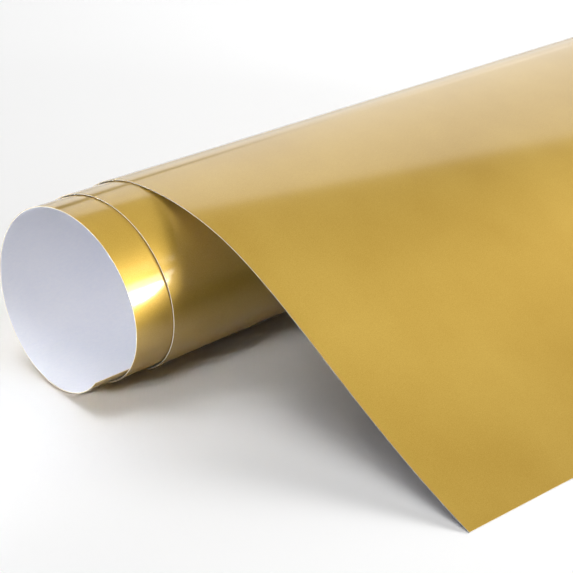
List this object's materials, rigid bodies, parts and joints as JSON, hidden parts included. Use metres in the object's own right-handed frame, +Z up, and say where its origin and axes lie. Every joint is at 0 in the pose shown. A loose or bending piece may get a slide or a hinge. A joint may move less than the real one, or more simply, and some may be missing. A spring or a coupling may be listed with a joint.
{
  "type": "roll of sign vinyl",
  "caption": "Coreless roll of metallic gold self-adhesive sign vinyl on white release liner, its telescoped turns stepping out at one end and the loose end running down to the table.",
  "frame": {"origin": "centre of the bounding box's base, on the surface that the roll lies on", "axes": "+X along the roll from the stepped end, -Y towards the loose end, +Z up"},
  "size_m": [0.3418, 0.1819, 0.0551],
  "materials": {
    "film": "metallic gold under a clear gloss coat",
    "adhesive": "tacky clear acrylic",
    "liner": "silicone-coated, satin"
  },
  "bodies": {
    "wrap_1": {"wrap_1_film": "film", "wrap_1_adhesive": "adhesive", "wrap_1_liner": "liner"},
    "wrap_2": {"wrap_2_film": "film", "wrap_2_adhesive": "adhesive", "wrap_2_liner": "liner"},
    "wrap_3": {"wrap_3_film": "film", "wrap_3_adhesive": "adhesive", "wrap_3_liner": "liner"},
    "wrap_4": {"wrap_4_film": "film", "wrap_4_adhesive": "adhesive", "wrap_4_liner": "liner"},
    "wrap_5": {"wrap_5_film": "film", "wrap_5_adhesive": "adhesive", "wrap_5_liner": "liner"},
    "leaf_1": {"leaf_1_film": "film", "leaf_1_adhesive": "adhesive", "leaf_1_liner": "liner"},
    "leaf_2": {"leaf_2_film": "film", "leaf_2_adhesive": "adhesive", "leaf_2_liner": "liner"},
    "leaf_3": {"leaf_3_film": "film", "leaf_3_adhesive": "adhesive", "leaf_3_liner": "liner"},
    "leaf_4": {"leaf_4_film": "film", "leaf_4_adhesive": "adhesive", "leaf_4_liner": "liner"},
    "tail": {"tail_film": "film", "tail_adhesive": "adhesive", "tail_liner": "liner"},
    "flap_1": {"flap_1_film": "film", "flap_1_adhesive": "adhesive"},
    "flap_2": {"flap_2_film": "film", "flap_2_adhesive": "adhesive"},
    "flap_3": {"flap_3_film": "film", "flap_3_adhesive": "adhesive"},
    "flap_4": {"flap_4_film": "film", "flap_4_adhesive": "adhesive"},
    "flap_5": {"flap_5_film": "film", "flap_5_adhesive": "adhesive"}
  },
  "joints": [
    {"name": "telescope_4", "type": "slide", "parent": "wrap_5", "child": "wrap_4", "axis": [1, 0, 0], "range_m": [-0.004, 0.006]},
    {"name": "telescope_3", "type": "slide", "parent": "wrap_4", "child": "wrap_3", "axis": [1, 0, 0], "range_m": [-0.004, 0.006]},
    {"name": "telescope_2", "type": "slide", "parent": "wrap_3", "child": "wrap_2", "axis": [1, 0, 0], "range_m": [-0.004, 0.006]},
    {"name": "telescope_1", "type": "slide", "parent": "wrap_2", "child": "wrap_1", "axis": [1, 0, 0], "range_m": [-0.004, 0.006]},
    {"name": "lift_1", "type": "hinge", "parent": "wrap_5", "child": "leaf_1", "pos_m": [0.01475, 0.06141, 0.05509], "axis": [-1, 0, 0], "range_deg": [0, 14], "stiffness_Nm_per_rad": 0.02},
    {"name": "lift_2", "type": "hinge", "parent": "leaf_1", "child": "leaf_2", "pos_m": [0.01658, 0.03663, 0.05172], "axis": [-0.9999, 0.0137, -0.0001], "range_deg": [0, 14], "stiffness_Nm_per_rad": 0.02},
    {"name": "lift_3", "type": "hinge", "parent": "leaf_2", "child": "leaf_3", "pos_m": [0.0179, 0.01325, 0.04285], "axis": [-0.9996, 0.0283, -0.0002], "range_deg": [0, 14], "stiffness_Nm_per_rad": 0.02},
    {"name": "lift_4", "type": "hinge", "parent": "leaf_3", "child": "leaf_4", "pos_m": [0.01838, -0.00881, 0.03098], "axis": [-0.999, 0.0436, 0], "range_deg": [0, 14], "stiffness_Nm_per_rad": 0.02},
    {"name": "lift_5", "type": "hinge", "parent": "leaf_4", "child": "tail", "pos_m": [0.01791, -0.03086, 0.01911], "axis": [-0.9983, 0.0589, 0.0002], "range_deg": [0, 14], "stiffness_Nm_per_rad": 0.02},
    {"name": "peel_1", "type": "hinge", "parent": "tail", "child": "flap_1", "pos_m": [0.01753, -0.03888, 0.01519], "axis": [-0.9979, 0.0643, 0.0002], "range_deg": [0, 32]},
    {"name": "peel_2", "type": "hinge", "parent": "flap_1", "child": "flap_2", "pos_m": [0.01708, -0.04642, 0.01178], "axis": [-0.9976, 0.0692, 0.0002], "range_deg": [0, 32]},
    {"name": "peel_3", "type": "hinge", "parent": "flap_2", "child": "flap_3", "pos_m": [0.01657, -0.05406, 0.00858], "axis": [-0.9973, 0.074, 0.0002], "range_deg": [0, 32]},
    {"name": "peel_4", "type": "hinge", "parent": "flap_3", "child": "flap_4", "pos_m": [0.016, -0.06178, 0.00559], "axis": [-0.9969, 0.0788, 0.0002], "range_deg": [0, 32]},
    {"name": "peel_5", "type": "hinge", "parent": "flap_4", "child": "flap_5", "pos_m": [0.01538, -0.06959, 0.00283], "axis": [-0.9965, 0.0835, 0.0001], "range_deg": [0, 32]}
  ],
  "couplings": [
    {"joint": "telescope_3", "follows": "telescope_4", "ratio": 1},
    {"joint": "telescope_2", "follows": "telescope_4", "ratio": 1},
    {"joint": "telescope_1", "follows": "telescope_4", "ratio": 1},
    {"joint": "lift_2", "follows": "lift_1", "ratio": 1},
    {"joint": "lift_3", "follows": "lift_1", "ratio": 1},
    {"joint": "lift_4", "follows": "lift_1", "ratio": 1},
    {"joint": "lift_5", "follows": "lift_1", "ratio": 1},
    {"joint": "peel_2", "follows": "peel_1", "ratio": 1},
    {"joint": "peel_3", "follows": "peel_1", "ratio": 1},
    {"joint": "peel_4", "follows": "peel_1", "ratio": 1},
    {"joint": "peel_5", "follows": "peel_1", "ratio": 1}
  ]
}
